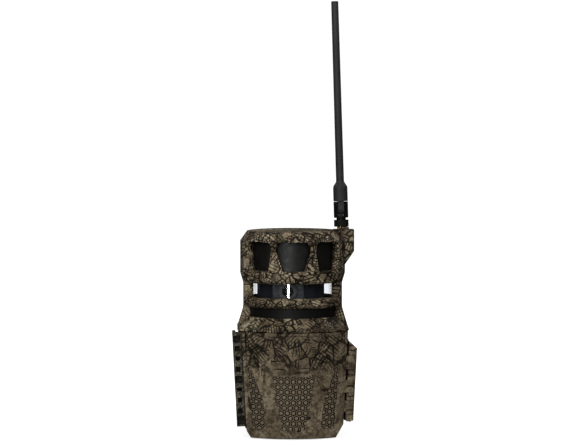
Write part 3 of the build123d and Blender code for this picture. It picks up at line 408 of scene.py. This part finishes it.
def clear_sheet(name, tint, frost, gloss):
    """Clear moulded polycarbonate: what is behind it shows, with a mirror film at its faces."""
    g = Graph(name)
    through = g.node("ShaderNodeBsdfTransparent")
    through.inputs["Color"].default_value = tint
    film = g.node("ShaderNodeBsdfPrincipled")
    film.inputs["Base Color"].default_value = (1, 1, 1, 1)
    film.inputs["Metallic"].default_value = 1.0
    g.feed(film.inputs["Roughness"], g.step(g.noise(300), 0.3, 0.7, frost, frost + 0.01))
    facing = g.node("ShaderNodeLayerWeight")
    facing.inputs["Blend"].default_value = 0.5
    weight = g.math("MULTIPLY", g.math("POWER", facing.outputs["Facing"], 5.0), gloss)
    weight = g.math("ADD", weight, 0.05)
    blend = g.node("ShaderNodeMixShader")
    g.feed(blend.inputs["Fac"], weight)
    g.feed(blend.inputs[1], through.outputs[0])
    g.feed(blend.inputs[2], film.outputs[0])
    g.feed(g.output.inputs["Surface"], blend.outputs[0])
    return g.material


def lens(name, deep, rim):
    """Coated glass: a dark barrel behind it and a painted coloured sheen towards its rim."""
    g = Graph(name)
    facing = g.node("ShaderNodeLayerWeight")
    facing.inputs["Blend"].default_value = 0.35
    # painted reflection: the colour turns to the rim colour as the face turns from view
    colour = g.mix(g.step(facing.outputs["Facing"], 0.1, 0.9), deep, rim)
    smudge = g.step(g.noise(240), 0.4, 0.8, 0.03, 0.09)
    return g.surface(colour, smudge, Coat_Weight=1.0, Coat_Roughness=0.03)


def cell_wrap(name):
    """The wrap of a dry cell: a dark jacket, a copper band at its top and bare steel ends."""
    g = Graph(name)
    low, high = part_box("batteries")
    height = g.axes()[2]
    band = g.math("GREATER_THAN", height, high.z - 15 * MM)
    top = g.math("GREATER_THAN", height, high.z - 1.9 * MM)
    bottom = g.math("LESS_THAN", height, low.z + 0.8 * MM)
    colour = g.mix(band, tone(30, 30, 32), tone(168, 104, 58))
    colour = g.mix(g.math("MAXIMUM", top, bottom), colour, tone(170, 170, 168))
    scuff = g.noise(300, 4)
    colour = g.mix(g.step(scuff, 0.55, 0.8, 0.0, 0.3), colour, tone(90, 86, 82))
    return g.surface(colour, g.step(scuff, 0.3, 0.7, 0.25, 0.4), g.rounded(0.3 * MM), Metallic=0.35)


def display(name):
    """A reflective liquid-crystal screen that is switched off."""
    g = Graph(name)
    dots = g.step(g.cells(2600), 0.2, 0.5)
    colour = g.mix(dots, tone(58, 66, 60), tone(66, 76, 68))
    return g.surface(colour, g.step(g.noise(200), 0.3, 0.7, 0.06, 0.12), Coat_Weight=0.6)


looks["circuit_board"] = board("circuit_board")
looks["clear_window"] = clear_sheet("clear_window", (0.97, 0.98, 0.99, 1), 0.015, 0.5)
looks["lens_glass"] = lens("lens_glass", tone(3, 3, 5), tone(18, 13, 34))
looks["filter_glass"] = lens("filter_glass", tone(70, 24, 30), tone(150, 70, 90))
looks["battery_wrap"] = cell_wrap("battery_wrap")
looks["screen_glass"] = display("screen_glass")

slot_of = {row["node"]: row["material_slot"] for row in frame["record"]["subparts"]}
for node_name, node_object in nodes.items():
    node_object.data.materials.clear()
    node_object.data.materials.append(looks[slot_of[node_name]])
nodes["front_door"].data.materials[0] = looks["camo_door"]


# ---------------------------------------------------------------- the door's relief
FRONT_RADIUS = 58.0
REACH_TOP = 46.2
REACH_BOTTOM = 43.4
BODY_TOP = 90.6
POCKET_INSET = 1.4
PLATE_INSET = 0.5


def front_point(x, z, inset):
    """A point of the door's bowed front in metres, inset by that many millimetres."""
    reach = REACH_BOTTOM + (REACH_TOP - REACH_BOTTOM) * z / BODY_TOP
    centre = FRONT_RADIUS - reach
    radius = FRONT_RADIUS - inset
    return Vector((x, centre - math.sqrt(radius * radius - x * x), z)) * MM


def inside(corners, x, z, margin=0.0):
    """True if the point is inside the outline by that margin, or, if negative, nearly inside."""
    hit = False
    for (ax, az), (bx, bz) in zip(corners, corners[1:] + corners[:1]):
        if (az > z) != (bz > z) and x < (bx - ax) * (z - az) / (bz - az) + ax:
            hit = not hit
        length = math.hypot(bx - ax, bz - az)
        share = max(0, min(1, ((x - ax) * (bx - ax) + (z - az) * (bz - az)) / length ** 2))
        gap = math.hypot(x - ax - share * (bx - ax), z - az - share * (bz - az))
        if gap < abs(margin):
            return margin < 0
    return hit


COMB_WALL = 0.78              # millimetres
COMB_BUTTON = 1.72
COMB_STEP = 0.27
COMB_MARGIN = 0.6
COMB_OVERLAP = 0.55
COMB_SINK = 0.06


def hex_height(x, z, pitch, row, shift_x, top):
    """Height from 0 to 1 of the honeycomb at a point: thin walls, a domed button in each cell."""
    nearest = []
    line = (top - z) / row
    for index in (math.floor(line), math.floor(line) + 1):
        offset = pitch / 2 if index % 2 else 0.0
        column = round((x - shift_x - offset) / pitch)
        for step in (-1, 0, 1):
            cx = shift_x + offset + (column + step) * pitch
            nearest.append(math.hypot(x - cx, z - (top - index * row)))
    nearest.sort()
    first, second = nearest[:2]
    wall = max(0.0, 1 - (second - first) / COMB_WALL)
    dome = max(0.0, 1 - (first / COMB_BUTTON) ** 3)
    return max(min(1.0, 1.7 * wall), 0.9 * dome ** 0.6)


def honeycomb(name, corners, pitch, row, shift_x, top, depth):
    """A relief that lies on a pocket's floor, with its height kept for the material."""
    xs = [x for x, _ in corners]
    zs = [z for _, z in corners]
    wide = int((max(xs) - min(xs) + 2 * COMB_MARGIN) / COMB_STEP)
    tall = int((max(zs) - min(zs) + 2 * COMB_MARGIN) / COMB_STEP)
    index, points, heights = {}, [], []
    for i in range(wide + 1):
        for j in range(tall + 1):
            x = min(xs) - COMB_MARGIN + i * COMB_STEP
            z = min(zs) - COMB_MARGIN + j * COMB_STEP
            if not inside(corners, x, z, -COMB_OVERLAP):
                continue
            high = hex_height(x, z, pitch, row, shift_x, top)
            index[i, j] = len(points)
            points.append(front_point(x, z, POCKET_INSET - COMB_SINK - depth * high))
            heights.append(high)
    faces = [
        (index[i, j], index[i + 1, j], index[i + 1, j + 1], index[i, j + 1])
        for i, j in index
        if (i + 1, j) in index and (i + 1, j + 1) in index and (i, j + 1) in index
    ]
    mesh = bpy.data.meshes.new(name)
    mesh.from_pydata(points, [], faces)
    mesh.attributes.new("height", "FLOAT", "POINT").data.foreach_set("value", heights)
    mesh.shade_smooth()
    made = bpy.data.objects.new(name, mesh)
    scene.collection.objects.link(made)
    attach(made, "door")
    return made


def relief_with_painted_hollow_shade(name, low, high):
    """Camouflage plastic with painted shade: darker in its hollows, where shade falls."""
    g = Graph(name)
    height = g.node("ShaderNodeAttribute", attribute_name="height").outputs["Fac"]
    cloud = g.noise(60, 4)
    top_colour = g.mix(g.step(cloud, 0.38, 0.64), high, CAMO_MIDDLE)
    # painted shade: the low colour fills the hollows between walls and buttons
    colour = g.mix(g.step(height, 0.18, 0.72), low, top_colour)
    speck = g.noise(700, 3)
    colour = g.mix(g.step(speck, 0.52, 0.75, 0.0, 0.35), colour, low)
    rough = g.step(speck, 0.3, 0.7, 0.5, 0.66)
    return g.surface(colour, rough, g.bump(speck, 0.4, 0.08 * MM), Specular_IOR_Level=0.15)


CENTRE_PANEL = [(-18, 53), (18, 53), (9.4, 8), (-9.4, 8)]
SIDE_PANEL = [
    (39.4, 61), (36.4, 60), (32, 49.5), (25.6, 33),
    (22.8, 8.4), (34.4, 8.4), (35.7, 29), (37.4, 49),
]
MIRRORED = [(-x, z) for x, z in SIDE_PANEL]
# The low colour of each relief is painted shade in its hollows.
relief = relief_with_painted_hollow_shade("honeycomb", tone(5, 4, 2), tone(98, 88, 72))
# A darker copy with painted shade for the side panels, which turn away from the light.
relief_shaded_side = relief_with_painted_hollow_shade("honeycomb_side_shaded", tone(3, 2, 1), tone(88, 79, 64))
centre = honeycomb("honeycomb_centre", CENTRE_PANEL, 5.18, 4.43, -0.2, 48.9, 1.1)
centre.data.materials.append(relief)
for piece in (
    honeycomb("honeycomb_right", SIDE_PANEL, 4.92, 4.43, 30.6, 49.2, 1.1),
    honeycomb("honeycomb_left", MIRRORED, 4.92, 4.43, -31.3, 49.2, 1.1),
):
    piece.data.materials.append(relief_shaded_side)


# ---------------------------------------------------------------- lines engraved in the door's upper plate
def strokes(middle, angle, count, spacing, length, chance):
    """Parallel strokes about a middle point, each a little longer or shorter than the last."""
    a = math.radians(angle)
    made = []
    for k in range(count):
        aside = (k - (count - 1) / 2) * spacing
        half = length / 2 * chance.uniform(0.7, 1.1)
        slip = chance.uniform(-0.12, 0.12) * length
        cx = middle[0] - aside * math.sin(a) + slip * math.cos(a)
        cz = middle[1] + aside * math.cos(a) + slip * math.sin(a)
        made.append((
            (cx - half * math.cos(a), cz - half * math.sin(a)),
            (cx + half * math.cos(a), cz + half * math.sin(a)),
            chance.uniform(0.55, 0.9),
        ))
    return made


def engraved(name, lines, outline):
    """Narrow dark inlays that follow the bowed plate and taper to their ends."""
    points, faces = [], []
    for (ax, az), (bx, bz), width in lines:
        length = math.hypot(bx - ax, bz - az)
        parts = max(3, int(length / 1.2))
        nx, nz = -(bz - az) / length, (bx - ax) / length
        last = None
        for k in range(parts + 1):
            share = k / parts
            x, z = ax + (bx - ax) * share, az + (bz - az) * share
            if not inside(outline, x, z, 0.5):
                last = None
                continue
            half = width / 2 * min(1.0, 0.35 + 4 * share * (1 - share))
            here = len(points)
            points.append(front_point(x + nx * half, z + nz * half, PLATE_INSET - 0.03))
            points.append(front_point(x, z, PLATE_INSET - 0.05))
            points.append(front_point(x - nx * half, z - nz * half, PLATE_INSET - 0.03))
            if last is not None:
                faces.append((last, last + 1, here + 1, here))
                faces.append((last + 1, last + 2, here + 2, here + 1))
            last = here
    mesh = bpy.data.meshes.new(name)
    mesh.from_pydata(points, [], faces)
    made = bpy.data.objects.new(name, mesh)
    scene.collection.objects.link(made)
    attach(made, "door")
    return made


UPPER_PANEL = [
    (-43.5, 87.6), (43.5, 87.6), (43.5, 72.5),
    (13.4, 56.2), (-13.4, 56.2), (-43.5, 72.5),
]
chance = random.Random(7)
bark = []
for group in (
    ((-37.5, 82), 36, 7, 2.5, 13),
    ((-29.5, 71), -47, 6, 2.3, 17),
    ((-15, 86.3), 3, 1, 2, 11),
    ((-14.5, 77.2), -4, 1, 2, 11),
    ((-20.6, 81.6), 76, 2, 2.2, 8.5),
    ((-14.2, 82.5), 88, 2, 2.2, 4),
    ((-9.2, 82), 95, 1, 2, 9),
    ((-24, 76), 20, 2, 2.2, 6),
    ((-12, 72.5), -42, 3, 2.2, 9),
    ((-2, 80), 84, 3, 2.3, 12),
    ((4.2, 77), 98, 3, 2.2, 14),
    ((0.5, 64), 88, 4, 2.4, 9),
    ((-15, 66.5), 2, 1, 2, 7),
    ((-12, 59.6), 0, 1, 2, 12),
    ((11.5, 74), 62, 2, 2.4, 10),
    ((11, 84.5), -12, 3, 2.2, 9),
    ((17.5, 74), 4, 5, 2.0, 5.5),
    ((14.5, 66), -78, 2, 2.3, 9),
    ((34, 83.6), -38, 7, 2.3, 17),
    ((26, 82), 50, 3, 2.4, 10),
    ((22, 68.5), 56, 4, 2.3, 13),
    ((30.5, 73), -36, 5, 2.5, 12),
    ((28, 66), 50, 5, 2.4, 10),
    ((20.5, 60.5), -40, 3, 2.2, 8),
    ((9, 60.2), 4, 1, 2, 9),
    ((-33, 75.5), 34, 2, 2.2, 9),
):
    bark += strokes(*group, chance)
bark_ink = moulded("bark_ink", tone(6, 5, 2), tone(14, 11, 6), 0.7, Specular_IOR_Level=0.1)
engraved("bark_lines", bark, UPPER_PANEL).data.materials.append(bark_ink)


# ---------------------------------------------------------------- web behind the hinge knuckles
points = []
for z in (14.1, 82.4):
    side = SIDE_BOTTOM + HINGE_SLOPE * z
    inner, outer = side - 1.0, side + 0.95
    for x, y in ((inner, -17.6), (outer, -17.6), (outer, -16.8), (inner, -16.8)):
        points.append(Vector((x, y, z)) * MM)
faces = [(3, 2, 1, 0), (4, 5, 6, 7), (0, 1, 5, 4), (1, 2, 6, 5), (2, 3, 7, 6), (3, 0, 4, 7)]
web_mesh = bpy.data.meshes.new("hinge_web")
web_mesh.from_pydata(points, [], faces)
web = bpy.data.objects.new("hinge_web", web_mesh)
scene.collection.objects.link(web)
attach(web, "housing")
web_mesh.materials.append(looks["camo_shell"])


# ---------------------------------------------------------------- floor
floor_mesh = bpy.data.meshes.new("floor")
floor_mesh.from_pydata([(-4, -3, 0), (4, -3, 0), (4, 6, 0), (-4, 6, 0)], [], [(0, 1, 2, 3)])
floor = bpy.data.objects.new("floor", floor_mesh)
floor.location.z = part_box("rear_housing")[0].z - 0.3 * MM
scene.collection.objects.link(floor)
g = Graph("floor")
grain = g.noise(8, 3)
paper = g.node("ShaderNodeBsdfDiffuse")
mirrored = g.node("ShaderNodeLightPath").outputs["Is Glossy Ray"]
tinted = g.mix(grain, (0.38, 0.38, 0.38, 1), (0.42, 0.42, 0.42, 1))
g.feed(paper.inputs["Color"], g.mix(mirrored, tinted, (0.02, 0.02, 0.02, 1)))
glow = g.node("ShaderNodeEmission")
far = g.step(g.vector("LENGTH", g.place), 0.08, 0.22, 0.80, BACKDROP_STRENGTH)
direct = g.node("ShaderNodeLightPath").outputs["Is Camera Ray"]
g.feed(glow.inputs["Strength"], g.math("MULTIPLY", far, direct))
both = g.node("ShaderNodeAddShader")
g.feed(both.inputs[0], paper.outputs[0])
g.feed(both.inputs[1], glow.outputs[0])
g.feed(g.output.inputs["Surface"], both.outputs[0])
floor_mesh.materials.append(g.material)
